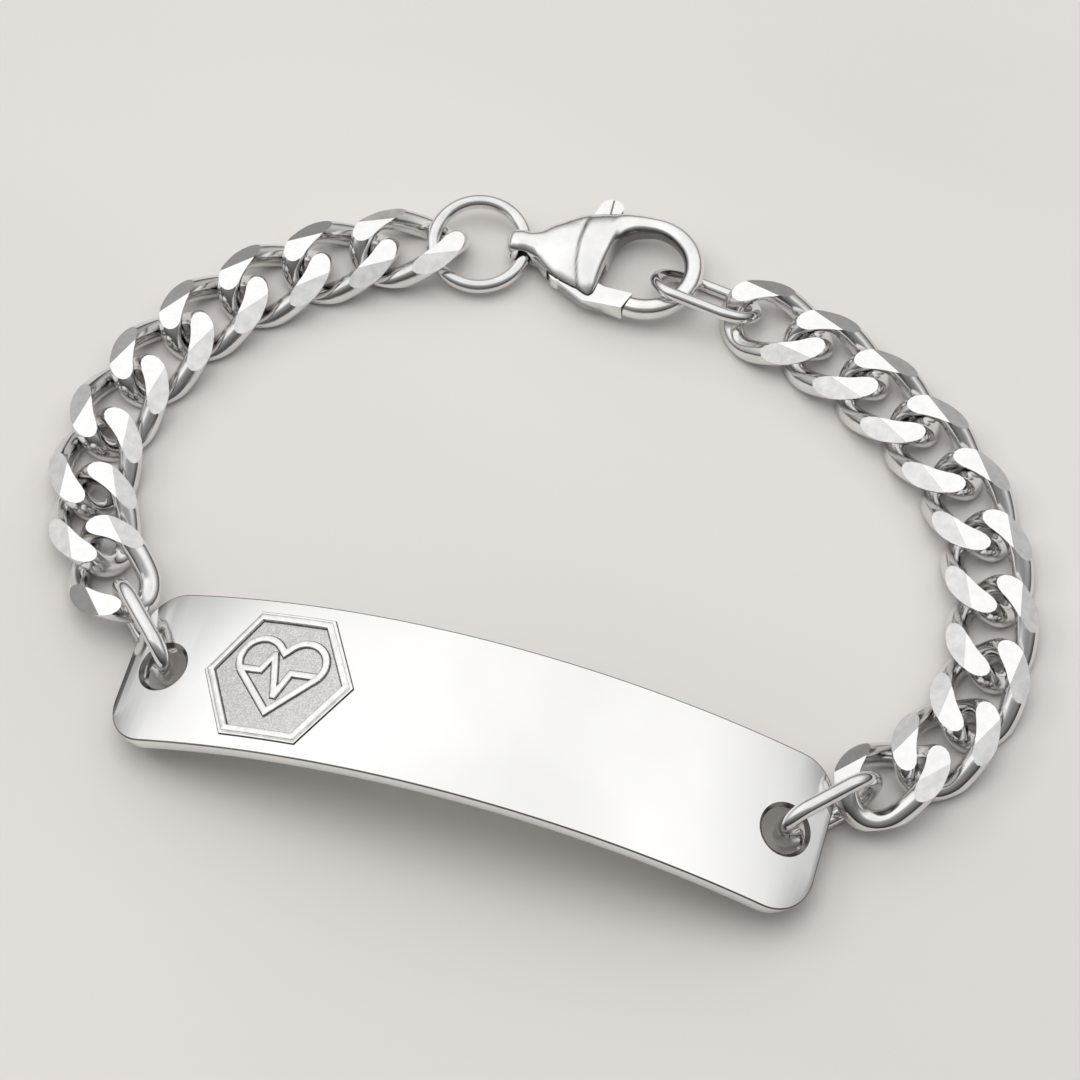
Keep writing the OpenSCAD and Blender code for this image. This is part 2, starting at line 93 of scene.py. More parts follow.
def started(primitive: Callable, **settings: object) -> Piece:
    """Start a piece with a primitive that keeps its place, turn and scale in its mesh.

    Args:
        primitive: the operator that adds it.
        settings: the operator's settings.

    Returns:
        The new piece.
    """
    clear_selection()
    primitive(**settings)
    piece = bpy.context.object
    bpy.ops.object.transform_apply()
    return piece


def round_bar(at: Point, radius: float, depth: float, sides: int = 48,
              turn: Point = (0, 0, 0)) -> Piece:
    """Turn a bar on the lathe.

    Args:
        at: its middle.
        radius: its radius.
        depth: its length, along Z.
        sides: how many sides stand for its round wall.
        turn: its turn about X, Y and Z, in degrees.

    Returns:
        The bar.
    """
    return started(bpy.ops.mesh.primitive_cylinder_add, vertices=sides, radius=radius,
                   depth=depth, location=tuple(at),
                   rotation=tuple(math.radians(angle) for angle in turn))


def edit(piece: Piece) -> None:
    """Open a piece in edit mode with nothing selected.

    Args:
        piece: the object.
    """
    pick(piece)
    bpy.ops.object.mode_set(mode="EDIT")
    bpy.ops.mesh.select_all(action="DESELECT")


def fresh_selection(kind: str) -> bmesh.types.BMesh:
    """Deselect all of the open piece.

    Args:
        kind: what is selected next, VERT, EDGE or FACE.

    Returns:
        The open piece's mesh.
    """
    bpy.ops.mesh.select_all(action="DESELECT")
    bpy.ops.mesh.select_mode(type=kind)
    return bmesh.from_edit_mesh(bpy.context.object.data)


def select_verts(test: Callable[[Vector], bool]) -> None:
    """Select the open piece's vertices by their place, and nothing else.

    Args:
        test: says of a vertex's place whether it is selected.
    """
    mesh = fresh_selection("VERT")
    for v in mesh.verts:
        v.select = test(v.co)
    mesh.select_flush(True)
    bmesh.update_edit_mesh(bpy.context.object.data)


def select_edges(test: Callable[[Vector, Vector], bool]) -> None:
    """Select the open piece's edges by the places of their two ends, and nothing else.

    Args:
        test: says of an edge's two ends whether it is selected.
    """
    mesh = fresh_selection("EDGE")
    for e in mesh.edges:
        e.select_set(test(e.verts[0].co, e.verts[1].co))
    bmesh.update_edit_mesh(bpy.context.object.data)


def select_faces(test: Callable[[Vector, Vector], bool], corners: int = 3) -> None:
    """Select the open piece's faces by middle and normal, and nothing else.

    Args:
        test: says of a face's middle and normal whether it is selected.
        corners: the fewest corners that a selected face has.
    """
    mesh = fresh_selection("FACE")
    mesh.normal_update()
    for f in mesh.faces:
        f.select_set(len(f.verts) >= corners and test(f.calc_center_median(), f.normal))
    bmesh.update_edit_mesh(bpy.context.object.data)


def assign(slot: int) -> None:
    """Give the selected faces the open piece's material of this number."""
    bpy.context.object.active_material_index = slot
    bpy.ops.object.material_slot_assign()


def extrude(by: float) -> None:
    """Extrude what is selected along Z."""
    bpy.ops.mesh.extrude_region_move(TRANSFORM_OT_translate={"value": (0, 0, by)})


def bevel_edges(test: Callable[[Vector, Vector], bool], wide: float, steps: int) -> None:
    """Bevel the edges whose two ends pass a test."""
    select_edges(test)
    bpy.ops.mesh.bevel(offset=wide, segments=steps, affect="EDGES")


def face_out() -> None:
    """Turn all faces of the open piece outwards, and leave edit mode."""
    bpy.ops.mesh.select_all(action="SELECT")
    bpy.ops.mesh.normals_make_consistent(inside=False)
    clear_selection()


def stretch(piece: Piece, by: float) -> None:
    """Draw a round piece out to an oval, and leave it open.

    Args:
        piece: the piece, at the bench's middle.
        by: how far each half moves outwards along X.
    """
    edit(piece)
    for side in (-1, 1):
        select_verts(lambda p: p.x * side > 0)
        bpy.ops.transform.translate(value=(side * by, 0, 0))


def cut(at: Point, normal: Point, drop: bool = False) -> None:
    """Bisect the whole open piece with a plane.

    Args:
        at: a point of the plane.
        normal: the plane's normal.
        drop: whether what lies beyond the plane goes and the cut is filled.
    """
    bpy.ops.mesh.select_all(action="SELECT")
    bpy.ops.mesh.bisect(plane_co=at, plane_no=normal, use_fill=drop, clear_outer=drop,
                        threshold=1e-5)


def apply_modifier(piece: Piece, kind: str, **settings: object) -> None:
    """Add a modifier to a piece and apply it at once.

    Args:
        piece: the object.
        kind: the modifier's type.
        settings: its properties.
    """
    pick(piece)
    modifier = piece.modifiers.new(kind.title(), kind)
    for key, value in settings.items():
        setattr(modifier, key, value)
    bpy.ops.object.modifier_apply(modifier=modifier.name)


def carve(piece: Piece, tool: Piece, operation: str = "DIFFERENCE") -> None:
    """Cut a tool out of a piece, or join it where the operation is UNION, and remove it."""
    apply_modifier(piece, "BOOLEAN", operation=operation, solver="EXACT", object=tool)
    bpy.data.objects.remove(tool)


def tip(piece: Piece, angle: float) -> None:
    """Turn a piece about X, and keep the turn in its mesh.

    Args:
        piece: the object.
        angle: the turn, in degrees.
    """
    piece.rotation_euler = (math.radians(angle), 0, 0)
    bpy.context.view_layer.update()
    pick(piece)
    bpy.ops.object.transform_apply()


def slab(outline: Sequence[Point], low: float, high: float) -> Piece:
    """Saw a flat slab out of sheet, whose edge starts as one vertex drawn round its corners.

    Args:
        outline: its corners, anticlockwise seen from above.
        low: height of its underside.
        high: height of its top.

    Returns:
        The slab.
    """
    corners = [Vector((p[0], p[1], low)) for p in outline]
    piece = started(bpy.ops.mesh.primitive_plane_add, size=0.1, location=corners[0])
    edit(piece)
    bpy.ops.mesh.select_mode(type="VERT")
    bpy.ops.mesh.select_all(action="SELECT")
    bpy.ops.mesh.merge(type="CENTER")
    for a, b in zip(corners, corners[1:]):
        bpy.ops.mesh.extrude_vertices_move(TRANSFORM_OT_translate={"value": b - a})
    mesh = fresh_selection("VERT")
    for v in mesh.verts:
        v.select = len(v.link_edges) == 1
    mesh.select_flush(True)
    bmesh.update_edit_mesh(piece.data)
    bpy.ops.mesh.edge_face_add()
    bpy.ops.mesh.select_all(action="SELECT")
    bpy.ops.mesh.edge_face_add()
    bpy.ops.mesh.select_all(action="SELECT")
    extrude(high - low)
    face_out()
    return piece


def beside(points: Sequence[Point], by: float, closed: bool = True) -> list[Point]:
    """Draw a line at a distance beside another one.

    Args:
        points: the first line's bends.
        by: the distance, to the right of the way that the line runs.
        closed: whether its last bend joins the first one.

    Returns:
        The second line's bends, with mitred corners, and blunt ones where it turns sharply.
    """
    sharp, blunt = 0.6, 0.5
    found = []
    count = len(points)
    for i in range(count):
        here = Vector(points[i])
        ways = []
        if closed or i > 0:
            ways.append((here - Vector(points[i - 1])).normalized())
        if closed or i < count - 1:
            ways.append((Vector(points[(i + 1) % count]) - here).normalized())
        sides = [Vector((way.y, -way.x)) for way in ways]
        middle = sum(sides, Vector((0, 0))).normalized()
        lean = middle.dot(sides[0])
        if lean < sharp and by * ways[0].cross(ways[-1]) > 0:
            found.append(tuple(here + sides[0] * by + ways[0] * abs(by) * blunt))
            found.append(tuple(here + sides[-1] * by - ways[-1] * abs(by) * blunt))
        else:
            found.append(tuple(here + middle * by / lean))
    return found


def wire_along(line: Piece, thick: float, sides: int) -> Piece:
    """Lay round wire along a line.

    Args:
        line: a mesh line, which is used up.
        thick: the wire's diameter.
        sides: how many sides stand for its round section, a multiple of four.

    Returns:
        The wire as a mesh.
    """
    pick(line)
    bpy.ops.object.convert(target="CURVE")
    curve = bpy.context.object
    curve.data.dimensions = "3D"
    curve.data.fill_mode = "FULL"
    curve.data.bevel_depth = thick / 2
    curve.data.bevel_resolution = sides // 4 - 1
    curve.data.use_fill_caps = True
    bpy.ops.object.convert(target="MESH")
    edit(curve)
    bpy.ops.mesh.select_all(action="SELECT")
    bpy.ops.mesh.remove_doubles(threshold=1e-4)
    face_out()
    return curve


def joined(first: Piece, *others: Piece) -> Piece:
    """Join objects.

    Args:
        first: the object that the others join.
        others: the other objects.

    Returns:
        The first object.
    """
    pick(first, *others)
    bpy.ops.object.join()
    return first


def soften(piece: Piece, angle: float) -> None:
    """Shade a piece smooth, and keep edges sharper than an angle in degrees."""
    pick(piece)
    bpy.ops.object.shade_smooth_by_angle(angle=math.radians(angle))


def smooth(table: Sequence[Point], step: float) -> list[tuple[float, ...]]:
    """Draw a smooth curve through the rows of a table.

    Args:
        table: rows of numbers, the first of which rises from row to row.
        step: how far apart the new rows are in that number.

    Returns:
        The new rows, from the first old row to the last.
    """
    rows = np.array(table, float)
    slopes = np.gradient(rows, rows[:, 0], axis=0)
    found = []
    for x in np.linspace(rows[0, 0], rows[-1, 0], round(np.ptp(rows[:, 0]) / step) + 1):
        i = min(int(np.searchsorted(rows[:, 0], x, "right")) - 1, len(rows) - 2)
        wide = rows[i + 1, 0] - rows[i, 0]
        t = (x - rows[i, 0]) / wide
        row = (rows[i] * (2 * t ** 3 - 3 * t ** 2 + 1) + rows[i + 1] * (3 * t ** 2 - 2 * t ** 3)
               + slopes[i] * wide * (t ** 3 - 2 * t ** 2 + t)
               + slopes[i + 1] * wide * (t ** 3 - t ** 2))
        found.append(tuple(float(n) for n in row))
    return found


def share(value: float, start: float, end: float) -> float:
    """How far a value is on the way from a start to an end, from 0 to 1."""
    return min(1.0, max(0.0, (value - start) / (end - start)))


def lie_of(node: str) -> Matrix:
    """Find how a node of the frame lies, from its volume's middle and main axes.

    Args:
        node: the node's name.

    Returns:
        A right-handed matrix in millimetres, X along its length and Z through its thickness.
    """
    mesh = frame["nodes"][node].data
    mesh.calc_loop_triangles()
    corners = np.array([mesh.vertices[i].co for t in mesh.loop_triangles
                        for i in t.vertices], float).reshape(-1, 3, 3) / MM
    guess = corners.reshape(-1, 3).mean(0)
    corners = corners - guess
    # The volume, middle and moments of the tetrahedra between the guess and each triangle.
    volume = np.einsum("ij,ij->i", corners[:, 0],
                       np.cross(corners[:, 1], corners[:, 2])) / 6
    total = corners.sum(1)
    middle = (volume[:, None] * total).sum(0) / 4 / volume.sum()
    moment = (np.einsum("t,ti,tj->ij", volume, total, total)
              + np.einsum("t,tki,tkj->ij", volume, corners, corners)) / 20
    moment -= volume.sum() * np.outer(middle, middle)
    _, axes = np.linalg.eigh(moment)
    along, across = axes[:, 2], axes[:, 1]
    up = np.cross(along, across)
    lie = Matrix(np.column_stack([along, across, up]).tolist()).to_4x4()
    lie.translation = Vector(middle + guess)
    return lie


def body_of(node: str) -> str:
    """Name of the body that a node of the frame rides on."""
    bodies = frame["record"]["behaviour"]["bodies"]
    return next(name for name, nodes in bodies.items() if node in nodes)


def hand_over(piece: Piece, name: str, lie: Matrix, node: str) -> None:
    """Put a piece from the bench in its place, where it stands for a node of the frame.

    Args:
        piece: the finished mesh, in millimetres.
        name: its name in the scene.
        lie: where it goes, in millimetres.
        node: the node that it stands for.
    """
    pick(piece)
    piece.name = piece.data.name = name
    piece.matrix_world = Matrix.Scale(MM, 4) @ lie
    bpy.context.view_layer.update()
    bpy.ops.object.transform_apply(location=True, rotation=True, scale=True)
    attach(piece, body_of(node))
    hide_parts(node)
    LOG.info("%s for %s: %d faces", name, node, len(piece.data.polygons))


def hand_out(master: Piece, names: dict[str, str]) -> None:
    """Put a copy of a piece in the place of each of some nodes of the frame.

    Args:
        master: the finished piece, level at the bench's middle, which is used up.
        names: each copy's name in the scene, by the node that it stands for.
    """
    for node, name in names.items():
        pick(master)
        bpy.ops.object.duplicate(linked=False)
        hand_over(bpy.context.object, name, lie_of(node), node)
    bpy.data.objects.remove(master)


# Finishes

class Value:
    """A number that changes over a surface, for sums written as plain expressions."""

    def __init__(self, paint: "Nodes", socket: bpy.types.NodeSocket) -> None:
        """Hold a socket of a tree's nodes."""
        self.paint = paint
        self.socket = socket

    def _sum(self, operation: str, a: "Value | float", b: "Value | float") -> "Value":
        """Add a Math node on two values or numbers."""
        node = self.paint.node("ShaderNodeMath", {"operation": operation}, {0: a, 1: b})
        return Value(self.paint, node.outputs[0])

    def __add__(self, other: "Value | float") -> "Value":
        """Sum."""
        return self._sum("ADD", self, other)

    __radd__ = __add__

    def __sub__(self, other: "Value | float") -> "Value":
        """Difference."""
        return self._sum("SUBTRACT", self, other)

    def __rsub__(self, other: float) -> "Value":
        """Difference from a number."""
        return self._sum("SUBTRACT", other, self)

    def __mul__(self, other: "Value | float") -> "Value":
        """Product."""
        return self._sum("MULTIPLY", self, other)

    __rmul__ = __mul__


class Nodes:
    """Node tree of a material or of the room."""

    def __init__(self, owner: bpy.types.ID) -> None:
        """Start with the owner's tree emptied.

        Args:
            owner: the material or the world.
        """
        owner.use_nodes = True
        self.tree = owner.node_tree
        self.tree.nodes.clear()

    def put(self, socket: bpy.types.NodeSocket, value: object) -> None:
        """Set or link an input socket.

        Args:
            socket: the input.
            value: a number, a colour, a vector, a value or an output socket.
        """
        if isinstance(value, Value):
            value = value.socket
        if isinstance(value, bpy.types.NodeSocket):
            self.tree.links.new(value, socket)
        else:
            socket.default_value = value

    def node(self, kind: str, settings: dict | None = None,
             values: dict | None = None) -> bpy.types.Node:
        """Add a node.

        Args:
            kind: the node's type.
            settings: its properties, set first; "stops" fills a colour ramp.
            values: what its input sockets get, by name or number.

        Returns:
            The node.
        """
        node = self.tree.nodes.new(kind)
        for key, value in (settings or {}).items():
            if key == "stops":
                ramp = node.color_ramp.elements
                while len(ramp) < len(value):
                    ramp.new(1.0)
                for element, (at, shade) in zip(ramp, value):
                    element.position = at
                    element.color = (shade, shade, shade, 1)
            else:
                setattr(node, key, value)
        for key, value in (values or {}).items():
            self.put(node.inputs[key], value)
        return node

    def steps(self, value: Value, stops: Sequence[Point]) -> Value:
        """Bend a value through the stops of a ramp, each a place and a level."""
        node = self.node("ShaderNodeValToRGB", {"stops": stops}, {"Fac": value})
        return Value(self, node.outputs["Color"])


class Paint(Nodes):
    """Node tree of one material, with its surface shader."""

    def __init__(self, name: str) -> None:
        """Start a material with its output and its surface shader.

        Args:
            name: the material's name.
        """
        self.material = bpy.data.materials.new(name)
        super().__init__(self.material)
        self.surface = self.node("ShaderNodeBsdfPrincipled")
        self.node("ShaderNodeOutputMaterial", {}, {"Surface": self.surface.outputs[0]})
        self.place = self.node("ShaderNodeTexCoord").outputs["Object"]

    def noise(self, size: float, detail: float = 3.0, draw: Point = (1, 1, 1)) -> Value:
        """Cloudy noise.

        Args:
            size: width of its patches, in millimetres.
            detail: how many finer layers it has.
            draw: factors on X, Y and Z that draw the patches out.

        Returns:
            The noise, mostly between 0.3 and 0.7.
        """
        scale = tuple(1 / factor for factor in draw)
        mapping = self.node("ShaderNodeMapping", {}, {"Vector": self.place, "Scale": scale})
        node = self.node("ShaderNodeTexNoise", {}, {
            "Vector": mapping.outputs[0], "Scale": 1 / (size * MM), "Detail": detail})
        return Value(self, node.outputs["Fac"])

    def grains(self, size: float) -> Value:
        """Distance from the middle of packed grains of a size in millimetres."""
        values = {"Vector": self.place, "Scale": 1 / (size * MM)}
        return Value(self, self.node("ShaderNodeTexVoronoi", {}, values).outputs["Distance"])

    def mixed(self, part: Value, low: Point | bpy.types.NodeSocket,
              high: Point | bpy.types.NodeSocket) -> bpy.types.NodeSocket:
        """Mix two colours.

        Args:
            part: how much of the second colour there is.
            low: the first colour.
            high: the second colour.

        Returns:
            The mixed colour.
        """
        low, high = (shade if isinstance(shade, bpy.types.NodeSocket) else (*shade, 1)
                     for shade in (low, high))
        node = self.node("ShaderNodeMix", {"data_type": "RGBA"}, {0: part, 6: low, 7: high})
        return node.outputs[2]

    def attribute(self, name: str) -> Value:
        """Read a number that the mesh holds at its vertices."""
        node = self.node("ShaderNodeAttribute", {"attribute_name": name})
        return Value(self, node.outputs["Fac"])

    def feed(self, socket: str, value: object) -> None:
        """Set or link a socket of the surface shader, by its name."""
        self.put(self.surface.inputs[socket], value)

    def bump(self, height: Value, deep: float) -> None:
        """Raise the surface by a height times a depth in millimetres."""
        node = self.node("ShaderNodeBump", {}, {"Height": height, "Distance": deep * MM})
        self.feed("Normal", node.outputs[0])


@dataclass(frozen=True)
class Silver:
    """Silver with the polish and the fine wear of one place.

    Worn patches are dull and hazy. Sizes are in millimetres. A number at the mesh's vertices,
    named by a field of its own, darkens it towards the dark colour, as painted shade.
    """

    name: str
    bright: Point = (0.93, 0.925, 0.91)
    dull: Point = (0.80, 0.795, 0.785)
    gloss: float = 0.10
    haze: float = 0.06
    cloud: float = 2.0
    hairline: float = 0.06
    hair_depth: float = 0.0006
    draw: Point = (1.0, 1.0, 1.0)
    worn: Sequence[Point] = ((0.32, 0.0), (0.68, 1.0))
    tarnish: str = ""
    dark: Point = (0.09, 0.088, 0.085)

    def make(self) -> bpy.types.Material:
        """Build the material.

        Returns:
            The material.
        """
        paint = Paint(self.name)
        clouds = paint.noise(self.cloud, detail=4.0)
        hairs = paint.noise(self.hairline, detail=2.0, draw=self.draw)
        wear = paint.steps(clouds, self.worn)
        colour = paint.mixed(wear, self.bright, self.dull)
        # Painted shade: the number at the vertices darkens the colour where shade falls.
        if self.tarnish:
            colour = paint.mixed(paint.attribute(self.tarnish), colour, self.dark)
        paint.feed("Metallic", 1.0)
        paint.feed("Base Color", colour)
        paint.feed("Roughness", wear * self.haze + hairs * (self.haze / 2) + self.gloss)
        paint.bump(hairs, self.hair_depth)
        return paint.material


@dataclass(frozen=True)
class GrainedSilver:
    """Silver that is stippled with a punch and darkened in its pits."""

    name: str
    bright: Point = (0.88, 0.865, 0.845)
    pit: Point = (0.62, 0.605, 0.59)
    grain: float = 0.13
    patch: float = 0.5
    grain_share: float = 0.7
    patch_share: float = 0.5
    levels: Sequence[Point] = ((0.25, 1.0), (0.75, 0.0))
    pit_rough: float = 0.46
    polish: float = 0.12
    depth: float = 0.014

    def make(self) -> bpy.types.Material:
        """Build the material.

        Returns:
            The material.
        """
        paint = Paint(self.name)
        grains = paint.grains(self.grain) * self.grain_share
        patches = paint.noise(self.patch, detail=4.0) * self.patch_share
        high = paint.steps(grains + patches, self.levels)
        paint.feed("Metallic", 1.0)
        paint.feed("Base Color", paint.mixed(high, self.pit, self.bright))
        paint.feed("Roughness", high * -self.polish + self.pit_rough)
        paint.bump(high, self.depth)
        return paint.material


@dataclass(frozen=True)
class TableTop:
    """Pale plain table with a faint cloud of warm grey."""

    name: str = "pale_table"
    light: Point = (0.705, 0.672, 0.646)
    shade: Point = (0.653, 0.623, 0.598)
    cloud: float = 60.0
    draw: Point = (3.0, 1.0, 1.0)
    levels: Sequence[Point] = ((0.35, 0.0), (0.65, 1.0))
    rough: float = 0.55

    def make(self) -> bpy.types.Material:
        """Build the material.

        Returns:
            The material.
        """
        paint = Paint(self.name)
        clouds = paint.steps(paint.noise(self.cloud, draw=self.draw), self.levels)
        paint.feed("Base Color", paint.mixed(clouds, self.light, self.shade))
        paint.feed("Roughness", self.rough)
        return paint.material


WIRE = Silver("polished_wire", bright=(0.84, 0.835, 0.825), dull=(0.72, 0.715, 0.705),
              gloss=0.07)
GROUND = Silver("ground_facet", dull=(0.88, 0.875, 0.865), gloss=0.12, cloud=0.8,
                hair_depth=0.0008)
# The sloping facets are a little rougher than the level ones; their darker colour is painted shade.
SHADED_SLOPE = Silver("slope_facet_painted_shade", bright=(0.74, 0.735, 0.725), dull=(0.64, 0.635, 0.625),
                 gloss=0.16, cloud=0.8, hair_depth=0.0008)
# Painted shade: dark silver for the plate's edge bevels and hole chamfers, and the lever's tab groove.
EDGE = Silver("painted_shade_edge", bright=(0.30, 0.295, 0.29), dull=(0.22, 0.217, 0.214), gloss=0.15)
PLATE = Silver("plate_polish", dull=(0.88, 0.875, 0.86), gloss=0.09, haze=0.03, cloud=9.0,
               hairline=0.09, hair_depth=0.0004, draw=(30.0, 1.0, 1.0))
RELIEF = Silver("relief_polish", gloss=0.16, haze=0.08, cloud=0.6)
CLASP = Silver("clasp_polish", gloss=0.14, haze=0.05, cloud=2.5)
# The shell is polished, and darkened with painted shade in its crease and on the hook's inner wall.
SHELL = Silver("shell_polish_painted_shade", gloss=0.14, haze=0.05, cloud=2.5, tarnish="tarnish")
CAST = Silver("cast_satin", bright=(0.80, 0.79, 0.77), dull=(0.62, 0.61, 0.60), gloss=0.42,
              haze=0.15, cloud=0.7)
GRAINED = GrainedSilver("grained_field")
# Patina and painted shade: dark silver round the emblem's raised lines and on its outer wall.
PATINA_AND_SHADE = Silver("patina_and_painted_shade", bright=(0.20, 0.195, 0.19), dull=(0.10, 0.098, 0.095),
                gloss=0.32, haze=0.15, cloud=0.5)


def dress(piece: Piece, *finishes: Silver | GrainedSilver | TableTop) -> None:
    """Give a piece the materials of finishes, each of which is made once."""
    for finish in finishes:
        piece.data.materials.append(bpy.data.materials.get(finish.name) or finish.make())


# Pieces

@dataclass
class Chain:
    """The ground curb links: one link is made, and each of the others is its copy."""

    wire: float = 2.0
    round_share: float = 0.935
    width: float = 7.3
    inside: float = 5.9
    twist: float = 50.0
    height: float = 2.8
    flat: float = 4.0
    slope: float = 24.0
    bend_steps: int = 96
    side_cuts: int = 18
    sides: int = 32
    sharp: float = 32.0
    facet_corners: int = 7
    facet_turn: float = 0.002
    sloping: float = 0.5
    level: float = 0.999

    def centre_line(self) -> Piece:
        """Draw the twisted oval that the wire follows.

        Returns:
            The line, with its length along X.
        """
        radius = (self.width - self.wire) / 2
        line = started(bpy.ops.mesh.primitive_circle_add, vertices=self.bend_steps,
                       radius=radius, rotation=(0, 0, math.pi / self.bend_steps))
        stretch(line, (self.inside + self.wire) / 2 - radius)
        select_edges(lambda a, b: a.x * b.x < 0)
        bpy.ops.mesh.subdivide(number_cuts=self.side_cuts)
        clear_selection()
        apply_modifier(line, "SIMPLE_DEFORM", deform_method="TWIST", deform_axis="X",
                       angle=-math.radians(2 * self.twist))
        return line

    def master(self) -> Piece:
        """Make one link, and grind one level and two sloping facets on each of its faces.

        Returns:
            The link, level at the bench's middle.
        """
        link = wire_along(self.centre_line(), self.wire * self.round_share, self.sides)
        edit(link)
        slope = math.radians(self.slope)
        for up in (-1, 1):
            cut((0, 0, up * self.height / 2), (0, 0, up), drop=True)
            for side in (-1, 1):
                cut((0, side * self.flat / 2, up * self.height / 2),
                    (0, side * math.sin(slope), up * math.cos(slope)), drop=True)
        face_out()
        dress(link, WIRE, GROUND, SHADED_SLOPE)
        soften(link, self.sharp)
        edit(link)
        # Facets have many corners and don't turn along the link. Their tilt tells them apart.
        # Level facets get the ground silver, and sloping ones the darker silver of painted shade.
        for slot, least, most in ((1, self.level, 1 + HAIR), (2, self.sloping, self.level)):
            select_faces(lambda c, n: (abs(n.x) < self.facet_turn
                                       and least < abs(n.z) <= most), self.facet_corners)
            assign(slot)
            bpy.ops.mesh.faces_shade_flat()
        clear_selection()
        return link

    def build(self) -> None:
        """Copy the link to the place of every link of the frame."""
        nodes = sorted(node for node in frame["nodes"] if node.startswith("link_"))
        hand_out(self.master(), {node: node.replace("link", "curb_link") for node in nodes})


@dataclass
class SmallRing:
    """A closed jump ring of round wire, round or oval, with a copy for each of its nodes."""

    names: dict[str, str]
    length: float
    width: float
    wire: float
    turns: int = 128
    sides: int = 32
    sharp: float = 40.0

    def build(self) -> None:
        """Make the ring and copy it to its places."""
        ring = started(bpy.ops.mesh.primitive_torus_add, major_segments=self.turns,
                       minor_segments=self.sides, major_radius=(self.width - self.wire) / 2,
                       minor_radius=self.wire / 2, rotation=(0, 0, math.pi / self.turns))
        stretch(ring, (self.length - self.width) / 2)
        clear_selection()
        dress(ring, WIRE)
        soften(ring, self.sharp)
        hand_out(ring, self.names)


class JumpRing(Enum):
    """The small rings: names by node, length, width and wire."""

    PLATE = ({"plate_ring_left": "oval_ring_left", "plate_ring_right": "oval_ring_right"},
             9.4, 5.9, 1.25)
    CLASP = ({"clasp_ring": "round_clasp_ring"}, 8.65, 8.65, 1.15)
    CATCH = ({"catch_ring": "oval_catch_ring"}, 9.5, 5.7, 1.0)


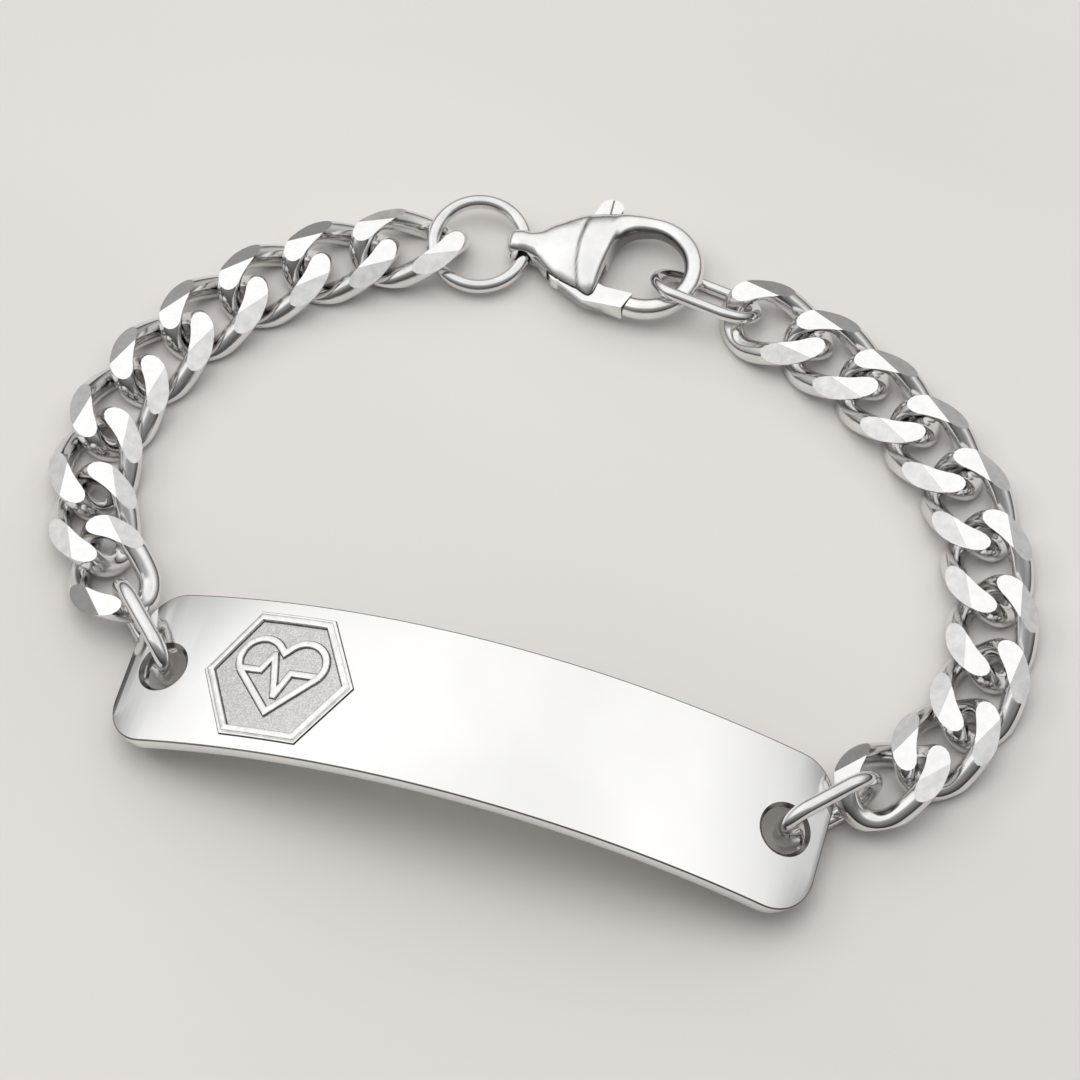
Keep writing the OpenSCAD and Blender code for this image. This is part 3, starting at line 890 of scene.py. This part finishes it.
@dataclass
class IdPlate:
    """The curved identity plate with its ring holes and its raised emblem.

    A rise is a height over the plate's face, and a root a depth under it. The heart's own
    places, and those of its pulse line, are shares of its width. The plate lies lower than
    the frame's by its sink, so that it stays inside.
    """

    node: str = "id_plate"
    length: float = 56.0
    width: float = 12.7
    thick: float = 1.3
    curve_r: float = 56.0
    corner_r: float = 3.4
    hole_d: float = 3.6
    hole_inset: float = 3.3
    hole_bevel: float = 0.3
    edge_bevel: float = 0.11
    sink: float = 0.01
    bend_strip: float = 0.5
    sharp: float = 30.0
    level: float = 0.98
    emblem_at: float = -14.9
    emblem_d: float = 12.0
    root: float = 0.4
    step_w: float = 0.2
    step_rise: float = 0.12
    rim_w: float = 0.5
    rim_rise: float = 0.3
    rim_bevel: float = 0.07
    foot_rise: float = 0.012
    field_rise: float = 0.03
    shadow_w: float = 0.1
    heart_w: float = 7.4
    heart_foot_rise: float = 0.033
    heart_field_rise: float = 0.035
    lobe_r: float = 0.25
    lobe_y: float = 0.185
    lobe_arc: range = range(-43, 142, 8)
    notch_y: float = 0.285
    tip_y: float = -0.435
    line_w: float = 0.5
    line_root: float = 0.2
    line_rise: float = 0.25
    line_bevel: float = 0.08
    pulse: Sequence[Point] = ((-0.46, 0.05), (-0.2, 0.05), (-0.1, 0.24), (0.03, -0.22),
                              (0.13, 0.05), (0.46, 0.05))
    pulse_rise: float = 0.23
    pulse_foot_rise: float = 0.04

    def blank(self) -> Piece:
        """Saw the flat blank, round its corners, bevel its edges and drill its holes.

        Returns:
            The blank, its middle at the bench's middle.
        """
        plate = started(bpy.ops.mesh.primitive_cube_add, size=1,
                        scale=(self.length, self.width, self.thick))
        edit(plate)
        bevel_edges(lambda a, b: abs(a.z - b.z) > HAIR, self.corner_r, steps=16)
        bevel_edges(lambda a, b: abs(a.z - b.z) < HAIR, self.edge_bevel, steps=3)
        clear_selection()
        for side in (-1, 1):
            carve(plate, self.drill(side * (self.length / 2 - self.hole_inset)))
        dress(plate, PLATE, EDGE)
        edit(plate)
        # The edge bevels and the holes' chamfers get dark silver: painted shade.
        select_faces(lambda c, n: WALL < abs(n.z) < self.level)
        assign(1)
        clear_selection()
        return plate

    def drill(self, x: float) -> Piece:
        """Turn the drill that cuts a hole with bevelled edges.

        Args:
            x: the hole's place along the plate.

        Returns:
            The drill, in its place on the blank.
        """
        tool = round_bar((x, 0, 0), self.hole_d / 2, 2 * (self.thick / 2 - self.hole_bevel),
                         sides=72)
        edit(tool)
        flare = 1 + 4 * self.hole_bevel / self.hole_d
        for side in (-1, 1):
            select_faces(lambda c, n: n.z * side > FACING)
            extrude(side * 2 * self.hole_bevel)
            bpy.ops.transform.resize(value=(flare, flare, 1), center_override=(x, 0, 0))
        clear_selection()
        return tool

    def prism(self, radius: float, rise: float, depth: float) -> Piece:
        """Saw a six-sided prism at the emblem's place.

        Args:
            radius: how far its corners are from its middle.
            rise: how high its top is.
            depth: its height from bottom to top.

        Returns:
            The prism.
        """
        return round_bar((self.emblem_at, 0, self.thick / 2 + rise - depth / 2), radius,
                         depth, sides=6, turn=(0, 0, 30))

    def hexagon(self) -> Piece:
        """Raise the stepped hexagonal rim around the grained field, on its dark foot.

        Returns:
            The rim, field and foot.
        """
        top = self.thick / 2
        rim = self.prism(self.emblem_d / 2, self.step_rise, self.root + self.step_rise)
        dress(rim, RELIEF, GRAINED, PATINA_AND_SHADE)
        edit(rim)
        select_faces(lambda c, n: n.z > FACING)
        for inset, rise in ((self.step_w, self.rim_rise - self.step_rise),
                            (self.rim_w, self.field_rise - self.rim_rise),
                            (self.shadow_w, 0)):
            bpy.ops.mesh.inset(thickness=inset)
            if rise:
                extrude(rise)
        assign(1)
        # The strip round the field, whose middle is the emblem's, and the outer wall: patina and painted shade.
        select_faces(lambda c, n: (n.z > FACING and c.z < top + self.field_rise + HAIR
                                   and abs(c.x - self.emblem_at) + abs(c.y) > HAIR)
                     or (abs(n.z) < WALL and c.z < top + self.step_rise))
        assign(2)
        bevel_edges(lambda a, b: min(a.z, b.z) > top + self.rim_rise - HAIR,
                    self.rim_bevel, steps=3)
        clear_selection()
        # The foot is a dark outline round the hexagon: patina and painted shade.
        foot = self.prism(self.emblem_d / 2 + self.shadow_w, self.foot_rise, self.root)
        dress(foot, PATINA_AND_SHADE)
        return joined(rim, foot)

    def raised(self, outline: Sequence[Point], rise: float) -> Piece:
        """Saw a slab that is rooted in the plate's face and rises over it."""
        return slab(outline, self.thick / 2 - self.line_root, self.thick / 2 + rise)

    def bevel_top(self, rise: float) -> None:
        """Bevel the open line's topmost edges, and leave edit mode.

        Args:
            rise: how high they are.
        """
        top = self.thick / 2 + rise - HAIR
        bevel_edges(lambda a, b: min(a.z, b.z) > top, self.line_bevel, steps=2)
        clear_selection()

    def heart_line(self) -> list[Point]:
        """Draw the heart's line: a tip and two round lobes.

        Returns:
            The line's bends.
        """
        w = self.heart_w - self.line_w
        lobe = w * self.lobe_r
        right = [(lobe * (1 + math.cos(math.radians(a))),
                  w * self.lobe_y + lobe * math.sin(math.radians(a))) for a in self.lobe_arc]
        left = [(-x, y) for x, y in right[::-1]]
        bends = [(0, self.tip_y * w), *right, (0, w * self.notch_y), *left]
        return [(x + self.emblem_at, y) for x, y in bends]

    def heart(self) -> list[Piece]:
        """Raise the heart's line round a grained field of its own, on its dark foot.

        Returns:
            The heart and its foot.
        """
        line = self.heart_line()
        heart = self.raised(beside(line, self.line_w / 2), self.line_rise)
        dress(heart, RELIEF, GRAINED, PATINA_AND_SHADE)
        edit(heart)
        select_faces(lambda c, n: n.z > FACING)
        bpy.ops.mesh.inset(thickness=self.line_w)
        extrude(self.heart_field_rise - self.line_rise)
        # The strip inside the line gets patina and painted shade, and the field inside it the grain.
        assign(2)
        bpy.ops.mesh.inset(thickness=self.shadow_w)
        assign(1)
        self.bevel_top(self.line_rise)
        # The foot is a dark outline along the line: patina and painted shade.
        foot = self.raised(beside(line, self.line_w / 2 + self.shadow_w),
                           self.heart_foot_rise)
        dress(foot, PATINA_AND_SHADE)
        return [heart, foot]

    def pulse_line(self) -> list[Piece]:
        """Raise the pulse line across the heart, on its dark foot.

        Returns:
            The pulse line and its foot.
        """
        line = [(x * self.heart_w + self.emblem_at, y * self.heart_w) for x, y in self.pulse]
        parts = []
        # Its second part is a dark foot along the line: patina and painted shade.
        for half, rise, finish in (
                (self.line_w / 2, self.pulse_rise, RELIEF),
                (self.line_w / 2 + self.shadow_w, self.pulse_foot_rise, PATINA_AND_SHADE)):
            part = self.raised(beside(line, half, closed=False)
                               + beside(line, -half, closed=False)[::-1], rise)
            dress(part, finish)
            parts.append(part)
        edit(parts[0])
        self.bevel_top(self.pulse_rise)
        return parts

    def build(self) -> None:
        """Make the plate flat, bend it, and put it in place."""
        plate = joined(self.blank(), self.hexagon(), *self.heart(), *self.pulse_line())
        edit(plate)
        count = int(self.length / self.bend_strip)
        for i in range(1, count):
            cut(((i - count / 2) * self.bend_strip, 0, 0), (1, 0, 0))
        clear_selection()
        tip(plate, 90)
        apply_modifier(plate, "SIMPLE_DEFORM", deform_method="BEND", deform_axis="Z",
                       angle=self.length / self.curve_r)
        tip(plate, -90)
        soften(plate, self.sharp)
        low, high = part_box(self.node)
        middle = (low + high) / 2 / MM
        ends = low.z / MM + (self.curve_r - self.thick / 2) * (
            1 - math.cos(self.length / 2 / self.curve_r)) + self.thick / 2 - self.sink
        hand_over(plate, "identity_plate", Matrix.Translation((middle.x, middle.y, ends)),
                  self.node)


@dataclass
class Clasp:
    """The lobster clasp: a domed body that runs out into the hook, and its sprung lever.

    What ends in _at is a share: of hook_x along the clasp, and of hook_r across it. A body
    row holds such shares for its place, near edge and far edge, and then a share of height. A
    tail row holds shares of the tail's reach, width and thickness.
    """

    reach: float = 14.7
    hook_d: float = 9.3
    hook_w: float = 1.55
    hook_h: float = 1.7
    height: float = 3.4
    tail_hole_d: float = 1.9
    tail_wall: float = 0.45
    tail_w: float = 2.4
    tip_outer: float = -101.5
    tip_inner: float = -96.0
    squareness: float = 2.4
    sides: int = 120
    body_step: float = 0.08
    hook_steps: int = 56
    sharp: float = 40.0
    level: float = 0.999
    tail_rows: Sequence[Point] = ((-1, 0.36, 0.45), (-0.8, 0.8, 0.82), (-0.4, 0.98, 1),
                                  (0.4, 1, 1))
    body_rows: Sequence[Point] = (
        (0.12, -0.30, 0.33, 0.80), (0.20, -0.45, 0.50, 0.87), (0.30, -0.61, 0.65, 0.94),
        (0.42, -0.72, 0.80, 1.00), (0.53, -0.81, 0.88, 1.00), (0.58, -0.86, 0.91, 0.98),
        (0.62, -0.86, 0.93, 0.94), (0.65, -0.74, 0.95, 0.89), (0.67, -0.43, 0.955, 0.86),
        (0.69, -0.13, 0.96, 0.82), (0.71, 0.15, 0.97, 0.76), (0.76, 0.40, 0.98, 0.70),
        (0.83, 0.56, 0.99, 0.62), (0.92, 0.64, 1.00, 0.56))

    # The crease, by its places across and along the clasp, the cone's step, and the painted shade
    # along the crease and on the hook's inner wall.
    crease: Sequence[Point] = ((-3.9, 5.35), (-3.4, 5.15), (-2.6, 4.9), (-1.3, 4.6),
                               (0.6, 4.45), (2.5, 4.6), (3.6, 4.9))
    crease_w: float = 0.2
    crease_dip: float = 0.06
    crease_end: Point = (3.5, 2.3)
    cone_step: float = 0.08
    cone_step_w: float = 0.14
    cone_step_run: float = 2.2
    shade_w: float = 0.12
    inner_wall: Point = (0.5, 0.9)
    inner_wall_at: Point = (0.66, 0.7225)
    darkest: float = 0.85

    # The lever, with its hub, thumb tab, gate and brace, and the slot that it lies in.
    pivot_at: Point = (0.34, -0.45)
    pin_d: float = 1.0
    pin_clear: float = 0.05
    hub_wall: float = 0.4
    lever_t: float = 1.2
    lever_bevel: float = 0.06
    tab_at: float = 0.62
    tab_out: float = 0.125
    tab_r: float = 0.75
    tab_w: float = 1.9
    groove_w: float = 0.16
    groove_deep: float = 0.1
    groove_run: Point = (-1.0, 2.0)
    gate_t: float = 1.8
    gate_w: float = 1.6
    gate_gap: float = 0.12
    gate_root_at: float = 0.72
    gate_rise: float = 0.35
    brace: float = 1.5
    brace_top: Point = (0.4, 0.8)
    swing: float = 20.0
    slot_gap: float = 0.15
    slot_mouth_at: float = 0.8
    slot_rib_at: float = -0.13
    slot_bend_at: float = 0.85
    slot_lean: Point = (0.6, -0.2)

    # Worked out from the sizes above.
    hook_r: float = field(init=False)
    hook_x: float = field(init=False)
    inner_r: float = field(init=False)
    hub_r: float = field(init=False)
    pivot: Vector = field(init=False)
    tab: Vector = field(init=False)
    lie: Matrix = field(init=False)

    def __post_init__(self) -> None:
        """Work out the places that follow from the sizes, and how the clasp lies."""
        self.hook_r = self.hook_d / 2
        self.hook_x = self.reach - self.hook_r
        self.inner_r = self.hook_r - self.hook_w
        self.hub_r = self.pin_d / 2 + self.hub_wall
        self.pivot = Vector((self.pivot_at[0] * self.hook_x, self.pivot_at[1] * self.hook_r,
                             0))
        self.tab = Vector((self.tab_at * self.hook_x, self.hook_r + self.tab_out, 0))
        joint = frame["joints"][0]
        axis = Vector(joint["axis"])
        self.lie = (Matrix.Rotation(math.atan2(-axis.y, -axis.x), 4, "Z")
                    @ Matrix.Rotation(-math.acos(axis.z), 4, "Y"))
        self.lie.translation = Vector(joint["pos_m"]) / MM - self.lie @ self.pivot

    def fan(self, radius: float, angle: float) -> Vector:
        """Point on a circle about the hook's middle, at an angle in degrees."""
        a = math.radians(angle)
        return Vector((self.hook_x + radius * math.cos(a), radius * math.sin(a), 0))

    def sections(self) -> list[tuple[Vector, Vector, float]]:
        """Lay out the body's sections, from its tail to the hook's tip.

        Returns:
            The near edge, far edge and thickness of each.
        """
        end = self.tail_hole_d / 2 + self.tail_wall
        table = [(x * end, -w * self.tail_w / 2, w * self.tail_w / 2, t * 2 * end)
                 for x, w, t in self.tail_rows]
        table += [(x * self.hook_x, near * self.hook_r, far * self.hook_r, t * self.height)
                  for x, near, far, t in self.body_rows]
        rows = [(Vector((x, near, 0)), Vector((x, far, 0)), thick)
                for x, near, far, thick in smooth(table, self.body_step)]
        for k in range(self.hook_steps + 1):
            part = k / self.hook_steps
            rows.append((self.fan(self.inner_r, 90 + part * (self.tip_inner - 90)),
                         self.fan(self.hook_r, 90 + part * (self.tip_outer - 90)),
                         self.hook_h))
        return rows

    def past(self, place: Vector) -> float:
        """How far a place is past the crease between cone and lobe, towards the hook."""
        return place.x - float(np.interp(place.y, *zip(*self.crease)))

    def fold(self, place: Vector) -> float:
        """Work out how the crease and the step of the cone behind it lower the body.

        Args:
            place: a place on the body.

        Returns:
            The share of the body's height that is left.
        """
        past = self.past(place)
        valley = self.crease_dip * math.exp(-(past / self.crease_w) ** 2)
        step = self.cone_step * (1 - math.tanh(past / self.cone_step_w)) / 2
        step *= math.exp(-(min(past, 0) / self.cone_step_run) ** 2)
        return 1 - share(place.y, *self.crease_end) * (valley + step)

    def shade(self, place: Vector, across: float) -> float:
        """Work out the painted shade along the crease and on the hook's inner wall.

        Args:
            place: a place on the body.
            across: where it is in its section, from -1 at the near edge to 1.

        Returns:
            The painted shade there.
        """
        line = share(place.y, *self.crease_end) * math.exp(
            -(self.past(place) / self.shade_w) ** 2)
        wall = share(-across, *self.inner_wall) * share(place.x / self.hook_x,
                                                        *self.inner_wall_at)
        return self.darkest * max(line, wall)

    def body(self) -> Piece:
        """Shape a bar into the body, and cut the tail hole and the lever's slot.

        Returns:
            The body, its tail hole at the bench's middle.
        """
        rows = self.sections()
        last = len(rows) - 1
        body = round_bar((0, 0, 0), 1, last, self.sides)
        edit(body)
        select_edges(lambda a, b: abs(a.z - b.z) > HAIR)
        bpy.ops.mesh.subdivide(number_cuts=last - 1)
        clear_selection()
        power = 2 / self.squareness
        # Painted shade: a number at the vertices darkens the crease and the hook's inner wall.
        tarnish = body.data.attributes.new(SHELL.tarnish, "FLOAT", "POINT")
        for v in body.data.vertices:
            near, far, thick = rows[round(v.co.z + last / 2)]
            a = math.atan2(v.co.y, v.co.x)
            across, up = (math.copysign(abs(part) ** power, part)
                          for part in (math.cos(a), math.sin(a)))
            v.co = (near + far) / 2 + across * (far - near) / 2
            v.co.z = up * thick / 2 * self.fold(v.co)
            tarnish.data[v.index].value = self.shade(v.co, across)
        edit(body)
        face_out()
        carve(body, round_bar((0, 0, 0), self.tail_hole_d / 2, 2 * self.tail_w,
                              turn=(90, 0, 0)))
        carve(body, self.slot())
        soften(body, self.sharp)
        dress(body, SHELL, CAST)
        edit(body)
        wall = self.lever_t / 2 + self.slot_gap + HAIR
        select_faces(lambda c, n: abs(n.z) > self.level and abs(c.z) < wall)
        assign(1)
        clear_selection()
        return body

    def slot(self) -> Piece:
        """Saw the cutter for the lever's slot, with room for the tab as the lever swings.

        Returns:
            The cutter, in the body's place on the bench.
        """
        half = self.lever_t / 2 + self.slot_gap
        swung = self.pivot + Matrix.Rotation(math.radians(self.swing), 3, "Z") @ (
            self.tab - self.pivot)
        left = min(self.pivot.x - self.hub_r, swung.x - self.tab_w / 2) - self.slot_gap
        right = self.tab.x + self.tab_w / 2 + self.slot_gap
        rib = self.slot_rib_at * self.hook_r
        start = self.pivot.x + self.hub_r
        lean_x, lean_y = self.tab.x + self.slot_lean[0], self.hook_r + self.slot_lean[1]
        edge = start + self.slot_gap + (lean_x - start) * (rib - self.pivot.y) / (
            lean_y - self.pivot.y)
        near = self.slot_mouth_at * self.hook_x
        far = self.reach
        return slab([(left, -far), (near, -far), (near, rib), (edge, rib),
                     (right, self.slot_bend_at * self.hook_r), (right, far), (left, far)],
                    -half, half)

    def thumb_tab(self) -> Piece:
        """Turn the lever's thumb tab, and draw it out to its width.

        Returns:
            The tab, in its place on the lever.
        """
        tab = round_bar(self.tab, self.tab_r, self.lever_t)
        edit(tab)
        bpy.ops.mesh.select_all(action="SELECT")
        bpy.ops.transform.resize(value=(self.tab_w / 2 / self.tab_r, 1, 1),
                                 center_override=tuple(self.tab))
        clear_selection()
        return tab

    def weld(self, lever: Piece, outline: Sequence[Point]) -> None:
        """Weld an arm with this outline to the lever, as thick as the lever is."""
        carve(lever, slab(outline, -self.lever_t / 2, self.lever_t / 2), "UNION")

    def lever(self) -> Piece:
        """Saw the lever with its hub, arm, grooved thumb tab and gate.

        Returns:
            The lever, in the body's place on the bench.
        """
        pivot, tab, hub = self.pivot, self.tab, self.hub_r
        gap = Vector((self.gate_gap, 0, 0))
        top = self.fan(self.inner_r, self.tip_inner) - gap
        end = self.fan(self.hook_r, self.tip_outer) - gap
        root = Vector((self.gate_root_at * self.hook_x, top.y + self.gate_rise, 0))
        foot = root - Vector((0, self.gate_w, 0))
        lever = round_bar(pivot, hub, self.lever_t)
        carve(lever, self.thumb_tab(), "UNION")
        side = self.tab_w / 2 - HAIR
        self.weld(lever, [(pivot.x - hub, pivot.y), (pivot.x + hub, pivot.y),
                          (tab.x + side, tab.y), (tab.x - side, tab.y)])
        half = self.groove_w / 2
        low, high = (tab.y + run for run in self.groove_run)
        groove = [(tab.x - half, low), (tab.x + half, low),
                  (tab.x + half, high), (tab.x - half, high)]
        floor = self.lever_t / 2 - self.groove_deep
        for bottom, ceiling in ((floor, self.lever_t), (-self.lever_t, -floor)):
            carve(lever, slab(groove, bottom, ceiling))
        self.weld(lever, [(pivot.x, pivot.y - hub), (foot.x - self.brace, foot.y), foot, root,
                          (pivot.x + self.brace_top[0] * hub,
                           pivot.y + self.brace_top[1] * hub)])
        bar = slab([root, foot, end, top], -self.gate_t / 2, self.gate_t / 2)
        edit(bar)
        select_verts(lambda p: p.x < root.x + HAIR)
        bpy.ops.transform.resize(value=(1, 1, self.lever_t / self.gate_t),
                                 center_override=(0, 0, 0))
        carve(lever, bar, "UNION")
        carve(lever, round_bar(pivot, self.pin_d / 2 + self.pin_clear, 2 * self.lever_t))
        apply_modifier(lever, "BEVEL", width=self.lever_bevel, segments=2,
                       limit_method="ANGLE", angle_limit=math.radians(35))
        dress(lever, CLASP, EDGE)
        soften(lever, self.sharp)
        edit(lever)
        # The thumb tab's groove gets dark silver: painted shade.
        reach = half + self.lever_bevel / 2
        select_faces(lambda c, n: abs(c.x - tab.x) < reach and abs(n.z) > WALL
                     and c.y > low + self.groove_deep)
        assign(1)
        clear_selection()
        return lever

    def build(self) -> None:
        """Make the body and the lever and put them in place."""
        hand_over(self.body(), "clasp_shell", self.lie, "clasp_body")
        hand_over(self.lever(), "clasp_gate_lever", self.lie, "clasp_lever")


# Studio

@dataclass
class SoftLight:
    """A large plain softbox, whose own mirror image is left to the room's dome."""

    name: str
    towards: Point
    away: float
    size: float
    power: float

    def build(self) -> None:
        """Hang the light so that it faces the bracelet."""
        lamp = bpy.data.lights.new(self.name, "AREA")
        lamp.shape = "DISK"
        lamp.size = self.size
        lamp.energy = self.power
        holder = bpy.data.objects.new(self.name, lamp)
        holder.visible_glossy = False
        bpy.context.scene.collection.objects.link(holder)
        way = Vector(self.towards).normalized()
        holder.location = way * self.away
        holder.rotation_euler = way.to_track_quat("Z", "Y").to_euler()


@dataclass
class Room:
    """The studio's dome: white above and behind, grey low down, dark along the table."""

    strength: float = 1.38
    facing: Point = (0.276, -0.961)
    by_height: Sequence[Point] = (
        (0.0, 0.03), (0.09, 0.04), (0.14, 0.28), (0.26, 0.42), (0.42, 0.66), (0.52, 0.86),
        (0.62, 0.94), (0.9, 1.0), (1.0, 0.92))
    by_front: Sequence[Point] = ((0.0, 1.0), (0.2, 1.0), (0.36, 0.45), (0.6, 0.25),
                                 (1.0, 0.15))
    by_side: Sequence[Point] = (
        (0.0, 0.85), (0.18, 0.88), (0.38, 0.82), (0.5, 0.8), (0.64, 0.76), (0.78, 0.8),
        (0.86, 0.7), (0.92, 0.5), (1.0, 0.4))

    def build(self) -> None:
        """Light the dome by height, and dim it towards the camera and to the right."""
        world = bpy.data.worlds.new("room")
        bpy.context.scene.world = world
        nodes = Nodes(world)
        way = nodes.node("ShaderNodeTexCoord").outputs["Generated"]
        parts = nodes.node("ShaderNodeSeparateXYZ", {}, {0: way})
        x, y, z = (Value(nodes, parts.outputs[axis]) for axis in "XYZ")
        front = x * self.facing[0] + y * self.facing[1]
        right = y * self.facing[0] - x * self.facing[1]
        glow = (nodes.steps(z, self.by_height) * nodes.steps(front, self.by_front)
                * nodes.steps(right * 0.5 + 0.5, self.by_side))
        lit = nodes.node("ShaderNodeBackground", {}, {
            "Color": glow, "Strength": self.strength})
        nodes.node("ShaderNodeOutputWorld", {}, {"Surface": lit.outputs[0]})


@dataclass
class Studio:
    """Camera at the photograph's angle, pale table and soft lights."""

    azimuth: float = 16.03
    elevation: float = 62.0
    away: float = 293.1
    look_at: Point = (-0.388, -1.935, 0.0)
    lens: float = 125.43
    sensor: float = 36.0
    table_size: float = 4.0
    lights: tuple[SoftLight, ...] = (
        SoftLight("softbox_above", towards=(-0.1, 0.06, 1.0), away=0.9, size=0.8, power=2.9),
        SoftLight("softbox_left", towards=(-0.9, 0.1, 0.75), away=1.0, size=0.3, power=0.9))

    def aim_camera(self) -> None:
        """Set up the camera at the photograph's angle."""
        a, e = math.radians(self.azimuth), math.radians(self.elevation)
        back = Vector((math.sin(a) * math.cos(e), -math.cos(a) * math.cos(e), math.sin(e)))
        camera = bpy.data.cameras.new("camera")
        camera.lens = self.lens
        camera.sensor_width = self.sensor
        camera.clip_start = 0.01
        holder = bpy.data.objects.new("camera", camera)
        bpy.context.scene.collection.objects.link(holder)
        holder.location = (Vector(self.look_at) + back * self.away) * MM
        holder.rotation_euler = (-back).to_track_quat("-Z", "Y").to_euler()
        bpy.context.scene.camera = holder
        bpy.context.scene.view_settings.view_transform = "Standard"

    def build(self) -> None:
        """Set up the camera, the table, the lights and the room's glow."""
        self.aim_camera()
        table = started(bpy.ops.mesh.primitive_plane_add, size=self.table_size)
        table.name = "table"
        dress(table, TableTop())
        for light in self.lights:
            light.build()
        Room().build()


def main() -> None:
    """Build the studio and every piece."""
    logging.basicConfig(level=logging.INFO, format="%(name)s: %(message)s")
    Studio().build()
    Chain().build()
    for ring in JumpRing:
        SmallRing(*ring.value).build()
    IdPlate().build()
    Clasp().build()


if __name__ == "__main__":
    main()
